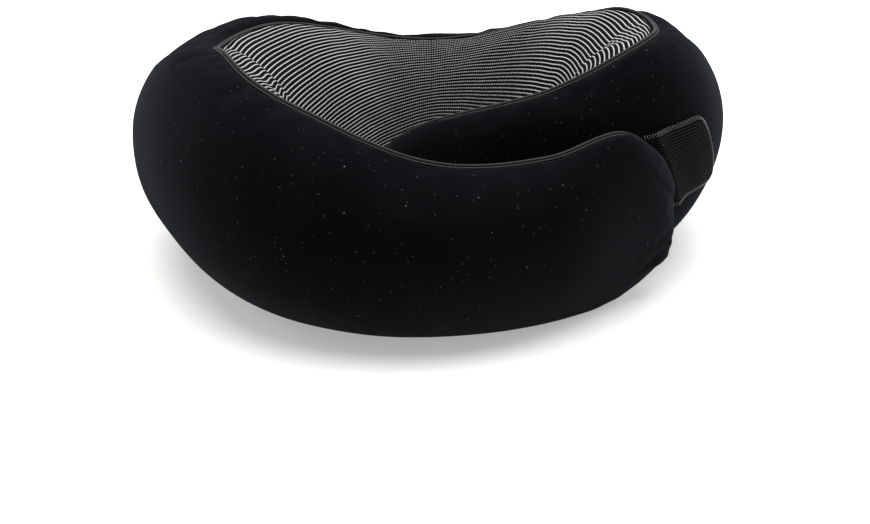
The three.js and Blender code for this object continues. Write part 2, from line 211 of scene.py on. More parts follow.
def girth(angle, start, end):
    """Length round the tube between two turns, in mm."""
    angle, start, end = spread(angle, start, end)
    share = np.linspace(0, 1, 37).reshape((-1,) + (1,) * angle.ndim)
    points = skin(angle, between(start, end, share))
    return np.linalg.norm(np.diff(points, axis=0), axis=-1).sum(0) / MM


def smooth_step(low, high, value):
    t = np.clip((value - low) / (high - low), 0, 1)
    return t * t * (3 - 2 * t)


def side_angles(side, step):
    """Station angles from the back's middle to a tip, about step mm apart and closer at the tip."""
    middle = length_at(0.0)
    reach = (LENGTHS[-1] - middle if side == FRONT else middle) - TIP_LENGTH
    body = np.linspace(0, reach, int(round(reach / step)))
    rounding = np.linspace(0, 0.5 * np.pi, int(round(1.6 * TIP_LENGTH / step)) + 6)[1:]
    share = np.sin(rounding) ** (2 / TIP_POWER)
    tip = reach + TIP_LENGTH * np.minimum(share, 1 - 0.0004)
    return np.interp(middle + side * np.concatenate([body, tip]), LENGTHS, DEGREES)


# ---------------------------------------------------------------- meshes


def mesh_object(name, points, faces):
    mesh = bpy.data.meshes.new(name)
    mesh.from_pydata([tuple(p) for p in points], [], faces)
    mesh.update()
    mesh.polygons.foreach_set("use_smooth", [True] * len(mesh.polygons))
    obj = bpy.data.objects.new(name, mesh)
    bpy.context.scene.collection.objects.link(obj)
    return obj


def point_attribute(obj, name, values):
    """A number or a vector for each point, for the materials to read."""
    values = np.asarray(values, np.float32)
    if values.ndim == 1:
        obj.data.attributes.new(name, "FLOAT", "POINT").data.foreach_set("value", values)
    else:
        attribute = obj.data.attributes.new(name, "FLOAT_VECTOR", "POINT")
        attribute.data.foreach_set("vector", values.ravel())


def store_rest(obj):
    """Each point's place at rest, so that a pattern moves with the cloth."""
    places = np.zeros(3 * len(obj.data.vertices), np.float32)
    obj.data.vertices.foreach_get("co", places)
    point_attribute(obj, "rest", places.reshape(-1, 3))


def unit_grid(rows, columns):
    """Shares from 0 to 1 down the rows and across the columns of a grid."""
    return np.linspace(0, 1, rows)[:, None], np.linspace(0, 1, columns)[None, :]


def both_faces(*values):
    """A vector for each point of a thick sheet, the same on its two faces."""
    grid = np.stack(np.broadcast_arrays(*values), -1).reshape(-1, 3)
    return np.concatenate([grid, grid])


def grid_faces(rows, columns, start=0, flip=False):
    r, c = np.meshgrid(np.arange(rows - 1), np.arange(columns - 1), indexing="ij")
    a = (start + r * columns + c).ravel()
    quads = np.stack([a, a + 1, a + columns + 1, a + columns], -1)
    return quads[:, ::-1] if flip else quads


def rim_faces(rows, columns, flip=False):
    """Quads that join the rims of two equal grids, the second one stored after the first."""
    top = np.arange(columns)
    right = np.arange(1, rows) * columns + columns - 1
    bottom = (rows - 1) * columns + np.arange(columns - 2, -1, -1)
    left = np.arange(rows - 2, 0, -1) * columns
    ring = np.concatenate([top, right, bottom, left])
    after = np.roll(ring, -1)
    second = rows * columns
    quads = np.stack([ring, ring + second, after + second, after], -1)
    return quads[:, ::-1] if flip else quads


def thick_sheet(name, outer, inner, side=FRONT):
    """A closed sheet between two equal grids of points; the first one is its face."""
    rows, columns = outer.shape[:2]
    flip = side == TUCKED
    count = rows * columns
    faces = np.concatenate([
        grid_faces(rows, columns, 0, flip),
        grid_faces(rows, columns, count, not flip),
        rim_faces(rows, columns, flip),
    ])
    points = np.concatenate([outer.reshape(-1, 3), inner.reshape(-1, 3)])
    return mesh_object(name, points, faces.tolist())


def cloth_sheet(name, base, normal, height, thick, side):
    """Cloth whose face stands height mm over the base points and no lower than the floor."""
    outer = base + normal * height[..., None] * MM
    inner = base + normal * (height - thick)[..., None] * MM
    outer[..., 2] = np.maximum(outer[..., 2], 0.0)
    inner[..., 2] = np.maximum(inner[..., 2], INNER_CLEAR * MM)
    return thick_sheet(name, outer, inner, side)


def ring_faces(rows, columns, flip=False):
    """Faces of a closed form made of equal rings of points, with a flat face at each end."""
    faces = []
    for row in range(rows - 1):
        a, b = row * columns, (row + 1) * columns
        for c in range(columns):
            d = (c + 1) % columns
            faces.append((a + c, a + d, b + d, b + c))
    faces.append(tuple(range(columns))[::-1])
    faces.append(tuple((rows - 1) * columns + c for c in range(columns)))
    return [face[::-1] for face in faces] if flip else faces


def tube(name, path, normals, profile, scales):
    """A closed sweep: profile holds (across, out) pairs in metres, normals say where out is."""
    tangent = unit(np.gradient(path, axis=0))
    across = unit(np.cross(tangent, normals))
    out = unit(np.cross(across, tangent))
    shape = np.asarray(profile)[None, :] * scales[:, None, None]
    rings = path[:, None] + across[:, None] * shape[..., :1] + out[:, None] * shape[..., 1:]
    return mesh_object(name, rings.reshape(-1, 3), ring_faces(*rings.shape[:2]))


# ---------------------------------------------------------------- cloth


def resample(values, rows, columns):
    """Values of a grid at fractional rows and columns, with smooth cubic steps between."""
    def weights(t):
        return np.stack([
            0.5 * (-t + 2 * t**2 - t**3),
            0.5 * (2 - 5 * t**2 + 3 * t**3),
            0.5 * (t + 4 * t**2 - 3 * t**3),
            0.5 * (-t**2 + t**3),
        ])

    def neighbours(place, count):
        base = np.clip(np.floor(place).astype(int), 0, count - 2)
        index = np.clip(base[None] + np.arange(-1, 3).reshape((4,) + (1,) * base.ndim), 0, count - 1)
        return index, weights(place - base)

    row_index, row_weight = neighbours(rows, values.shape[0])
    column_index, column_weight = neighbours(columns, values.shape[1])
    total = np.zeros(np.broadcast(rows, columns).shape)
    for i in range(4):
        for j in range(4):
            total += row_weight[i] * column_weight[j] * values[row_index[i], column_index[j]]
    return total


CLOTH_STEP = 5.0           # mm between the simulated points along the U
CLOTH_TURNS = np.concatenate([np.linspace(0, LOWER_SEAM, 33), np.linspace(LOWER_SEAM, 360, 21)[1:]])
SWELL_SHARE = 0.45         # how much of the simulated swell the well filled cover shows
SWELL_CAP = 1.6
CLOTH_FRAMES = 20
CLOTH_SETTINGS = {
    "quality": 6,
    "mass": 0.15,
    "tension_stiffness": 18,
    "compression_stiffness": 18,
    "shear_stiffness": 8,
    "bending_stiffness": 0.4,
    "use_pressure": True,
    "uniform_pressure_force": 4.0,
    "shrink_min": -0.025,
    "vertex_group_mass": "held",
}


def simulated_swell(side):
    """How far the cloth stands off the tube, in mm, once it is inflated between its seams."""
    angles = side_angles(side, CLOTH_STEP)
    turns = CLOTH_TURNS[:-1]
    start = skin(angles[:, None], turns[None, :], 1.0)
    rows, columns = start.shape[:2]
    body = mesh_object("cloth_copy", start.reshape(-1, 3), ring_faces(rows, columns, side == TUCKED))
    held = body.vertex_groups.new(name="held")
    seams = [0, int(np.argmin(abs(turns - LOWER_SEAM)))]
    held.add([row * columns + c for row in range(rows) for c in seams], 1.0, "REPLACE")
    held.add([row * columns + c for row in (0, rows - 1) for c in range(columns)], 1.0, "REPLACE")
    settings = body.modifiers.new("cloth", "CLOTH").settings
    for key, value in CLOTH_SETTINGS.items():
        setattr(settings, key, value)
    settings.effector_weights.gravity = 0
    scene = bpy.context.scene
    for step in range(1, CLOTH_FRAMES + 1):
        scene.frame_set(step)
    result = body.evaluated_get(bpy.context.evaluated_depsgraph_get()).to_mesh()
    moved = np.zeros(rows * columns * 3, np.float32)
    result.vertices.foreach_get("co", moved)
    scene.frame_set(1)
    bpy.data.objects.remove(body)
    shift = moved.reshape(rows, columns, 3) - start
    swell = (shift * skin_normal(angles[:, None], turns[None, :])).sum(-1) / MM
    return np.concatenate([swell, swell[:, :1]], axis=1)


def swell_at(side, angle, turn):
    """The simulated swell at any station angle and turn, capped."""
    if SWELL[side] is None:
        return np.zeros(np.broadcast(angle, turn).shape)
    stations = side * from_back(side_angles(side, CLOTH_STEP))
    rows = np.interp(side * from_back(angle), stations, np.arange(len(stations)))
    columns = np.interp(np.maximum(turn, 0), CLOTH_TURNS, np.arange(len(CLOTH_TURNS)))
    rows, columns = np.broadcast_arrays(rows, columns)
    return np.clip(SWELL_SHARE * resample(SWELL[side], rows, columns), -SWELL_CAP, SWELL_CAP)


SWELL = {side: simulated_swell(side) for side in SIDES}

# ---------------------------------------------------------------- fabric surfaces


def arc_from_start(points):
    """Length across the sheet from its first column, in mm."""
    steps = np.linalg.norm(np.diff(points, axis=1), axis=2) / MM
    return np.concatenate([np.zeros((len(points), 1)), np.cumsum(steps, axis=1)], axis=1)


def waves(x, y, terms):
    """A sum of slow sines over two lengths, each term (wavelength x, wavelength y, phase, height)."""
    total = 0.0
    for wx, wy, phase, height in terms:
        total = total + height * np.sin(2 * np.pi * (x / wx + y / wy) + phase)
    return total


# Slow waves of the filled cloth and short ones beside its seams: (wavelength along the U, wavelength
# round the tube, phase, height).
FOAM_WAVES = [(97, 160, 0.4, 0.18), (-143, 88, 2.1, 0.14), (61, -120, 4.0, 0.08), (210, 70, 1.2, 0.12)]
PUCKERS = [(10.7, 400, 0.3, 0.10), (16.9, -300, 1.9, 0.14), (7.9, 260, 4.4, 0.06), (27.0, 500, 2.6, 0.2)]
SEAM_VALLEY = 2.8          # how deep the shell dips at its seams
SEAM_WIDTH = 2.6
SEAM_EASE = 3.0            # nearer to a seam than this, waves and ribs fade out
WAVE_EASE = 25.0           # the same for the slow waves, the swell and the reliefs of the shell
SWELL_EASE = 6.0
RELIEF_EASE = 10.0
SEAM_PUFF = 0.7            # how proud it stands beside them
PUFF_REACH = 13.0          # how far from the seam it stands the most proud
PUCKER_REACH = 11.0        # how fast the puckers fade away from the seam
TIP_BULGE = 4.6            # how far the front tip hangs out below its middle
TIP_BULGE_TURN = 122
TIP_BULGE_WIDTH = 34
TIP_BULGE_REACH = 17

# Creases: (side, angle and turn at one end, angle and turn at the other, depth, half width).
CREASES = [
    (FRONT, 236.5, 108, 230, 98, 1.3, 1.8),
    (FRONT, 236.8, 128, 228, 122, 1.2, 1.8),
    (FRONT, 236.0, 150, 227, 146, 1.0, 2.0),
    (FRONT, 234.0, 60, 226, 52, 0.5, 2.4),
    (FRONT, 228.0, 168, 218, 160, 0.7, 2.4),
    (TUCKED, -112, 9, -124, 26, 0.7, 1.6),
    (TUCKED, -107, 13, -113, 34, 0.6, 1.7),
    (TUCKED, -116, 16, -132, 22, 0.5, 1.8),
    (TUCKED, -101, 10, -103, 30, 0.5, 2.0),
]

# Where the filling stands proud or falls short of the tube: (side, angle, turn, reach in degrees
# along the U, reach round the tube, height).
RELIEFS = [
    (TUCKED, -79, 34, 15, 24, -3.3),
    (TUCKED, -95, 52, 9, 22, -1.4),
    (FRONT, 92, 46, 9, 22, -1.8),
    (FRONT, 109, 98, 12, 20, 1.6),
]


def relief(side, angle, turn):
    total = np.zeros(np.broadcast(angle, turn).shape)
    for relief_side, at_angle, at_turn, reach, turn_reach, height in RELIEFS:
        if relief_side == side:
            total = total + height * bell(angle - at_angle, reach) * bell(turn - at_turn, turn_reach)
    return total


def seam_profile(distance):
    """Height of the cloth over the tube at a distance from a seam, in mm."""
    valley = -SEAM_VALLEY * bell(distance, SEAM_WIDTH)
    rise = (distance / PUFF_REACH) * np.exp(1 - distance / PUFF_REACH)
    return valley + SEAM_PUFF * rise


def cloth_place(angle, turn):
    """Lengths along the U from the back's middle and round the tube from the crest, in mm."""
    return np.array([from_back(angle), float(girth(angle, 0.0, turn))])


def crease_depth(side, place, crest):
    """How far the creases press the cloth in, at lengths along the U and round the tube."""
    total = np.zeros(np.broadcast(place, crest).shape)
    for crease_side, angle_a, turn_a, angle_b, turn_b, depth, width in CREASES:
        if crease_side != side:
            continue
        start = cloth_place(angle_a, turn_a)
        run = cloth_place(angle_b, turn_b) - start
        x, y = place - start[0], crest - start[1]
        share = np.clip((x * run[0] + y * run[1]) / (run @ run), 0, 1)
        squared = (x - share * run[0]) ** 2 + (y - share * run[1]) ** 2
        fade = np.sin(np.pi * np.clip(0.12 + 0.88 * share, 0, 1)) ** 0.6
        fold = np.exp(-squared / width**2) - 0.4 * np.exp(-squared / (2.6 * width) ** 2)
        total = total + depth * fade * fold
    return total


def tip_bulge(side, angle, turn):
    if side == TUCKED:
        return np.zeros(np.broadcast(angle, turn).shape)
    distance = tip_distance(angle)
    along_arm = bell(distance, TIP_BULGE_REACH) * smooth_step(0, 6, distance)
    return TIP_BULGE * along_arm * bell(turn - TIP_BULGE_TURN, TIP_BULGE_WIDTH)


def shell_height(side, angle, turn, crest, lower):
    """What the shell does away from the plain tube, in mm; crest and lower are seam distances."""
    place = from_back(angle)
    seam = np.minimum(crest, lower)
    near = np.exp(-seam / PUCKER_REACH) * np.clip(seam / SEAM_EASE, 0, 1)
    height = seam_profile(crest) + seam_profile(lower)
    slow = waves(place, crest, FOAM_WAVES) * np.clip(crest / WAVE_EASE, 0, 1)
    height = height + slow * tip_scale(angle)
    height = height + waves(place, crest, PUCKERS) * near
    height = height + swell_at(side, angle, turn) * np.clip(seam / SWELL_EASE, 0, 1)
    height = height + relief(side, angle, turn) * np.clip(seam / RELIEF_EASE, 0, 1)
    return height - crease_depth(side, place, crest) + tip_bulge(side, angle, turn)


ZIP_RADIUS = 134.3         # the zip's circle about the centre of the U
ZIP_HEIGHT = 22
ZIP_SLOPE = 33             # degrees that the cover leans out from upright there
LEAN_SINE = math.sin(math.radians(ZIP_SLOPE))
LEAN_COSINE = math.cos(math.radians(ZIP_SLOPE))
ZIP_HALF_ANGLE = 41
ZIP_PLANE = (13, 24)       # up or down the slope the shell leaves the zip's plane between these
ZIP_SEAT = 1.5             # how deep the shell lies under the zip's hems
ZIP_SEAT_RIM = (8.5, 10.5)
ZIP_SEAT_END = (41.6, 43.4)
ZIP_INSIDE = -14           # points further inside than this belong to another part of the tube


def zip_coordinates(points):
    """Distances up the slope and out from the zip line, in mm, and the angle along it."""
    x, y, z = np.moveaxis(points / MM - ORIGIN, -1, 0)
    from_line = np.hypot(x, y) - ZIP_RADIUS
    over_line = z - ZIP_HEIGHT
    up = from_line * LEAN_SINE + over_line * LEAN_COSINE
    return up, from_line * LEAN_COSINE - over_line * LEAN_SINE, np.degrees(np.arctan2(-x, y))


def seat_zip(height, base):
    """The shell's height, eased to the zip's plane round it and let in under its hems."""
    up, out, angle = zip_coordinates(base)
    near = out > ZIP_INSIDE
    plane = (1 - smooth_step(ZIP_HALF_ANGLE + 1, ZIP_HALF_ANGLE + 7, abs(angle))) * near
    plane = plane * (1 - smooth_step(*ZIP_PLANE, abs(up)))
    seat = (1 - smooth_step(*ZIP_SEAT_RIM, abs(up))) * (1 - smooth_step(*ZIP_SEAT_END, abs(angle))) * near
    return height * (1 - plane) - plane * out - seat * ZIP_SEAT


SHELL_STEP, SHELL_COLUMNS = 2.4, 150
SHELL_CROWDING = 0.45      # how much the shell's columns crowd towards its seams


def build_shell(side):
    """The jersey shell of one side, from the upper seam round the outside to the lower seam."""
    angles = side_angles(side, SHELL_STEP)[:, None]
    share = np.linspace(0, 1, SHELL_COLUMNS)[None, :]
    share = (1 - SHELL_CROWDING) * share + SHELL_CROWDING * (0.5 - 0.5 * np.cos(np.pi * share))
    turns = between(seam_turn(angles), LOWER_SEAM, share)
    base = skin(angles, turns)
    normal = skin_normal(angles, turns)
    crest = arc_from_start(base)
    height = shell_height(side, angles, turns, crest, crest[:, -1:] - crest)
    height = seat_zip(height, base)
    shell = cloth_sheet(f"shell_{SIDES[side]}", base, normal, height, SHELL_THICK, side)
    store_rest(shell)
    return shell


KNIT_STEP, KNIT_COLUMNS = 1.5, 331

# The knit is one flat cloth: its rows follow the back, and meet the crest across the arms.
# At each station angle: the row that meets the upper seam, and rows per mm below it.
ROW_STATIONS = [
    (-240, 1.1, 0.12), (-140, 1.1, 0.12), (-130, 1.1, 0.18), (-120, 1.1, 0.25), (-113, 1.1, 0.285),
    (-104, 1.0, 0.34), (-98, 1.1, 0.41), (-88, 1.1, 0.42), (-80, 0.5, 0.42), (-72, 0.7, 0.42),
    (-60, 1.7, 0.44), (-48, 3.4, 0.45), (-33, 6.2, 0.46), (-20, 7.0, 0.51), (-10, 6.6, 0.57),
    (0, 5.4, 0.61), (12, 3.9, 0.57), (24, 1.9, 0.52), (38, -1.5, 0.48), (52, -3.5, 0.45),
    (80, -4.6, 0.42), (100, -5.1, 0.42), (109, -5.1, 0.4), (115, -5.1, 0.365), (121, -5.1, 0.306),
    (130, -5.1, 0.26), (140, -5.1, 0.22), (240, -5.1, 0.2),
]
ROW_CLIMB_START = {FRONT: 108, TUCKED: -96}     # beyond these angles the rows cross the crest
ROW_PITCH = 3.7            # mm of the crest's length between rows that cross it
ROW_BEND = 10.0            # over this many mm the rows turn to cross it
COLUMN_PITCH = 1.45
RIB_HEIGHT = 0.34
RIB_FADE = (60, 88)        # the raised ribs end between these angles from the back's middle
PANEL_DROP = 6.0           # how far the panel falls away from the seam on the arms
BACK_DROP = 1.2            # and at the back
DROP_RISE = (108, 124)     # angles between which the one becomes the other
DOT_CENTRE, DOT_REACH = -9, 30     # the rows are dotted round this angle and solid lines beyond
SEAM_SHADE_WIDTH = 2.2         # painted shade: the white rows fade out this near the seam


def knit_rows(side, angle, depth):
    stations = np.array(ROW_STATIONS)
    at_seam = through(stations[:, 0], stations[:, 1], angle)
    per_mm = through(stations[:, 0], stations[:, 2], angle)
    beyond = side * (from_back(angle) - from_back(ROW_CLIMB_START[side]))
    climb = 0.5 * (beyond + np.sqrt(beyond**2 + ROW_BEND**2)) / ROW_PITCH
    return at_seam + climb + per_mm * depth


def build_knit(side):
    """The dotted knit panel of one side, from the lower seam up the inside to the upper seam."""
    angles = side_angles(side, KNIT_STEP)[:, None]
    share = np.linspace(0, 1, KNIT_COLUMNS)[None, :]
    turns = between(LOWER_SEAM, 360 + seam_turn(angles), share)
    base = skin(angles, turns)
    normal = skin_normal(angles, turns)
    lower = arc_from_start(base)
    depth = lower[:, -1:] - lower
    place = from_back(angles)
    slow = waves(place, lower, FOAM_WAVES)
    rows = knit_rows(side, angles, depth) + 0.12 * slow
    fade = np.clip(np.minimum(lower, depth) / SEAM_EASE, 0, 1)
    ribs = (0.5 + 0.5 * np.cos(2 * np.pi * rows)) * (1 - smooth_step(*RIB_FADE, np.abs(angles)))
    drop = between(BACK_DROP, PANEL_DROP, smooth_step(*DROP_RISE, np.abs(angles)))
    drop = np.minimum(drop, 0.3 * along("inner", angles)) * tip_scale(angles)
    height = 0.8 * (seam_profile(depth) + seam_profile(lower)) + RIB_HEIGHT * ribs * fade
    height = height - drop * (1 - np.exp(-depth / SEAM_EASE)) * np.clip(lower / 12, 0, 1)
    height = height + (0.5 * slow + 0.7 * swell_at(side, angles, turns)) * fade
    knit = cloth_sheet(f"knit_{SIDES[side]}", base, normal, height, PANEL_THICK, side)
    solid = smooth_step(0.55, 1.25, np.abs(angles - DOT_CENTRE) / DOT_REACH)
    point_attribute(knit, "stitch", both_faces(rows, place / COLUMN_PITCH, solid))
    # The white rows fade out near the upper seam, widest round 84 degrees and almost gone past 110:
    # painted shade beside the seam.
    shade_width = SEAM_SHADE_WIDTH * (1 + 0.8 * bell(np.abs(angles) - 84, 16))
    shade_width = shade_width * (1 - 0.8 * smooth_step(92, 110, np.abs(angles)))
    edge = np.minimum(depth / shade_width, lower / SEAM_SHADE_WIDTH).reshape(-1)
    point_attribute(knit, "seam_shade", np.concatenate([edge, edge]))
    return knit


CORD_RADIUS = 1.0          # the bead on the panel's side
EDGE_RADIUS = 0.72         # the folded edge beside it, on the shell's side
CORD_OFFSET = 0.82         # half the distance between the two
PIPING_STEP = 1.6
PIPING_LOW = 1.6           # its middle runs at least this high over the floor
PIPING_SINK = 1.6          # how far the beads settle between the shell and the panel
SINK_RELIEF = (-58, 15, 1.7)     # station angle, reach and height of the stretch that stands up


def double_bead():
    """Outline round the cord and its folded edge, as (across, out) pairs, and how near a crown."""
    beads = [(-CORD_OFFSET, 0.5, CORD_RADIUS), (CORD_OFFSET, 0.05, EDGE_RADIUS)]
    outline, crowns = [], []
    for theta in np.linspace(0, 2 * np.pi, 37)[:-1]:
        ray = np.array([np.cos(theta), np.sin(theta)])
        reach, crown = 0.4, 0.0
        for across, out, radius in beads:
            centre = np.array([across, out])
            shadow = float(ray @ centre)
            gap = radius**2 - float(centre @ centre) + shadow**2
            if gap > 0 and shadow + math.sqrt(gap) > reach:
                reach = shadow + math.sqrt(gap)
                crown = max((reach * ray[1] - out) / radius, 0.0)
        outline.append(ray * reach * MM)
        crowns.append(crown)
    return outline, crowns


def build_piping(side):
    """Piping of one side: out along the upper seam, round the tip and back along the lower seam."""
    angles = side_angles(side, PIPING_STEP)
    turns = [seam_turn(angles), np.full(len(angles), float(LOWER_SEAM))]
    where, reach, relief = SINK_RELIEF
    sink = PIPING_SINK - relief * bell(angles - where, reach)
    sinks = [sink * np.sqrt(tip_scale(angles)), 0.6 * PIPING_SINK * np.sqrt(tip_scale(angles))]
    normals = [skin_normal(angles, turn) for turn in turns]
    seams = [skin(angles, turn) - n * s[:, None] * MM for turn, n, s in zip(turns, normals, sinks)]
    path = np.concatenate([seams[0], seams[1][::-1]])
    normals = np.concatenate([normals[0], normals[1][::-1]])
    for _ in range(3):
        path[1:-1] = 0.5 * path[1:-1] + 0.25 * (path[:-2] + path[2:])
        normals[1:-1] = unit(normals[:-2] + normals[1:-1] + normals[2:])
    path[:, 2] = np.maximum(path[:, 2], PIPING_LOW * MM)
    distance = run_length(path) / MM
    scales = 1 + 0.035 * np.sin(distance / 5.1) * np.sin(distance / 13.7)
    profile, crowns = double_bead()
    if side == TUCKED:
        profile, crowns = [(-across, out) for across, out in profile][::-1], crowns[::-1]
    piping = tube(f"piping_{SIDES[side]}", path, normals, profile, scales)
    round_it = np.linspace(0, 1, len(profile) + 1)[None, :-1]
    # The third number, how near a crown, sets the painted highlight on the beads and the painted shade in
    # their grooves.
    yarn = np.stack(np.broadcast_arrays(distance[:, None], round_it, np.array(crowns)[None, :]), -1)
    point_attribute(piping, "yarn", yarn.reshape(-1, 3))
    return piping


FOAM_DEPTH = 11.2          # under the tube's skin, clear of the dropped panel
LINER_DEPTH = 9.8
LINER_THICK = 0.7


def build_core(side):
    """The foam of one side, a closed form under the liner."""
    angles = side_angles(side, 5.0)[:-2]
    turns = np.arange(0, 360, 7.5)
    rings = skin(angles[:, None], turns[None, :], FOAM_DEPTH)
    faces = ring_faces(*rings.shape[:2], side == TUCKED)
    core = mesh_object(f"foam_core_{SIDES[side]}", rings.reshape(-1, 3), faces)
    store_rest(core)
    return core


def build_liner(side):
    """The thin liner round the foam of one side, sewn along the crest."""
    angles = side_angles(side, 4.0)[:-2, None]
    turns = np.linspace(0, 360, 61)[None, :]
    outer = skin(angles, turns, LINER_DEPTH)
    inner = skin(angles, turns, LINER_DEPTH + LINER_THICK)
    liner = thick_sheet(f"liner_sock_{SIDES[side]}", outer, inner, side)
    store_rest(liner)
    return liner


# ---------------------------------------------------------------- threads


# A stitch's rings: share of its length, and rise in thread radii.
THREAD_ARCH = [(0.0, -0.6), (0.18, 0.55), (0.5, 0.9), (0.82, 0.55), (1.0, -0.6)]
THREAD_SIDES = 6


def threads(name, starts, ends, normals, radius):
    """Short stitches, each one a round thread that arches from its start to its end."""
    starts, ends, normals = np.asarray(starts), np.asarray(ends), unit(np.asarray(normals))
    run = unit(ends - starts)
    across = unit(np.cross(run, normals))
    points, faces = [], []
    for start, end, normal, side_way in zip(starts, ends, normals, across):
        first = len(points)
        for share, rise in THREAD_ARCH:
            middle = between(start, end, share) + normal * rise * radius
            for corner in range(THREAD_SIDES):
                theta = 2 * math.pi * corner / THREAD_SIDES
                points.append(middle + (side_way * math.cos(theta) + normal * math.sin(theta)) * radius)
        for ring in range(len(THREAD_ARCH) - 1):
            for corner in range(THREAD_SIDES):
                a = first + ring * THREAD_SIDES + corner
                b = first + ring * THREAD_SIDES + (corner + 1) % THREAD_SIDES
                faces.append((a, a + THREAD_SIDES, b + THREAD_SIDES, b))
        last = first + (len(THREAD_ARCH) - 1) * THREAD_SIDES
        faces.append(tuple(first + corner for corner in range(THREAD_SIDES)))
        faces.append(tuple(last + corner for corner in range(THREAD_SIDES))[::-1])
    return mesh_object(name, points, faces)


# ---------------------------------------------------------------- hook tab, loop patch and label

# The tab's corners on the tucked arm: station angles at its root and its free end, then turns.
TAB_ROOT_TOP = -119
TAB_ROOT_BOTTOM = -114
TAB_END_TOP = -109
TAB_END_BOTTOM = -103
TAB_TOP = 58
TAB_BOTTOM = 96
TAB_CORNER = 0.2           # share of its length over which the free end's corners round off
TAB_TAPER = 0.16
TAB_TUCKED = 0.22          # the root's share of the length that is folded into the seam
TAB_LIFT = 1.2
ROOT_LIFT = 3.4            # the root comes out of the seam this much higher
TAB_THICK = 1.1
TAB_RIBS = 27
TAB_WIDTH = 41
TAB_REACH = 43


def on_shell(side, angle, turn, lift):
    """Points that stand lift mm over the shell's own surface."""
    angle, turn, lift = spread(angle, turn, lift)
    crest = girth(angle, seam_turn(angle), turn)
    lower = girth(angle, turn, float(LOWER_SEAM))
    height = shell_height(side, angle, turn, crest, lower) + lift
    return skin(angle, turn) + skin_normal(angle, turn) * height[..., None] * MM


def tab_place(a, b, margin=0.0):
    """Station angle and turn for shares along (a, 0 at the root) and across the tab (b)."""
    corner = np.clip((a - (1 - TAB_CORNER)) / TAB_CORNER, 0, 1)
    pull = TAB_TAPER * (1 - np.sqrt(np.maximum(1 - corner**2, 0))) + margin
    across = pull + (1 - 2 * pull) * b
    end = between(TAB_END_TOP, TAB_END_BOTTOM, across) - 25 * margin
    root = between(TAB_ROOT_TOP, TAB_ROOT_BOTTOM, across) + 40 * margin
    return between(root, end, a), between(TAB_TOP, TAB_BOTTOM, across)


def strip(name, a, b, low, high, margin=0.0):
    """A closed strip on the tucked arm between two heights over the shell, in mm."""
    angle, turn = tab_place(a, b, margin)
    return thick_sheet(name, on_shell(TUCKED, angle, turn, high), on_shell(TUCKED, angle, turn, low))


def tab_height(a, b):
    """How high the webbing's underside lies over the shell, and how far its edge is."""
    edge = np.minimum(np.minimum(b, 1 - b) * TAB_WIDTH, (1 - a) * TAB_REACH)
    settle = 0.7 * bell(edge, 3.5) * np.clip(a / 0.2, 0, 1)
    root_lift = ROOT_LIFT * np.maximum(1 - a / 0.35, 0) ** 2 * (a > 0) + ROOT_LIFT * (a <= 0)
    tuck = -1.8 * smooth_step(0, TAB_TUCKED, -a)
    return TAB_LIFT + root_lift + tuck - settle, edge


def build_tab():
    a = np.linspace(-TAB_TUCKED, 1, 90)[:, None]
    b = np.linspace(0, 1, 12 * TAB_RIBS + 1)[None, :]
    low, edge = tab_height(a, b)
    rib = 0.2 * (0.5 - 0.5 * np.cos(2 * np.pi * TAB_RIBS * b)) * np.clip(edge / 2.5, 0, 1)
    tab = strip("hook_tab_webbing", a, b, low, low + TAB_THICK + rib)
    point_attribute(tab, "weave", both_faces(a * TAB_REACH, b * TAB_RIBS, edge))
    return tab


OVERLOCK_PITCH = 1.25
OVERLOCK_WIDTH = 2.5       # how far the threads reach in from the edge
OVERLOCK_RADIUS = 0.13 * MM


def tab_top_point(a, b):
    low, _ = tab_height(a, b)
    angle, turn = tab_place(a, b)
    return on_shell(TUCKED, angle, turn, low + TAB_THICK + 0.08)


def build_overlock():
    """The overcast edge of the tab: threads at right angles to its three free edges."""
    run = np.linspace(0, 1, 160)
    legs = [(1.2 * run - 0.2, 0 * run), (1 + 0 * run, run), (1 - 1.2 * run, 1 + 0 * run)]
    a = np.concatenate([leg[0] for leg in legs])
    b = np.concatenate([leg[1] for leg in legs])
    rim = tab_top_point(a, b)
    travel = run_length(rim) / MM
    spots = np.arange(0.5, travel[-1], OVERLOCK_PITCH)
    a, b = np.interp(spots, travel, a), np.interp(spots, travel, b)
    inset_a, inset_b = OVERLOCK_WIDTH / TAB_REACH, OVERLOCK_WIDTH / TAB_WIDTH
    inner = tab_top_point(np.minimum(a, 1 - inset_a), np.clip(b, inset_b, 1 - inset_b))
    angle, turn = tab_place(a, b)
    return threads("tab_overlock", tab_top_point(a, b), inner, skin_normal(angle, turn), OVERLOCK_RADIUS)


WEAVE_ROWS = 36            # of hooks or loops, both ways


def build_hook_pad():
    a, b = unit_grid(34, 40)
    grain = 0.12 * np.cos(2 * np.pi * 17 * a) * np.cos(2 * np.pi * 20 * b)
    pad = strip("tab_hooks", a, b, 0.85 + grain, 1.45, 0.1)
    point_attribute(pad, "weave", both_faces(a * WEAVE_ROWS, b * WEAVE_ROWS, 0.0))
    return pad


def build_loop_patch():
    a, b = unit_grid(44, 44)
    rim = np.minimum(np.minimum(a, 1 - a), np.minimum(b, 1 - b)) * 40
    pile = 0.35 * (1 - np.exp(-rim / 1.2))
    patch = strip("loop_pile", a, b, -0.2, 0.3 + pile, 0.11)
    point_attribute(patch, "weave", both_faces(a * WEAVE_ROWS, b * WEAVE_ROWS, 0.0))
    return patch


LABEL_ANGLES = (-30, -42)
LABEL_TURNS = (62, 84)
LABEL_WIDTH = 26
LABEL_HEIGHT = 24
LABEL_THICK = 0.35


def label_place(a, b):
    """Station angle and turn for shares across (a) and down the label (b)."""
    return between(*LABEL_ANGLES, a), between(*LABEL_TURNS, b)


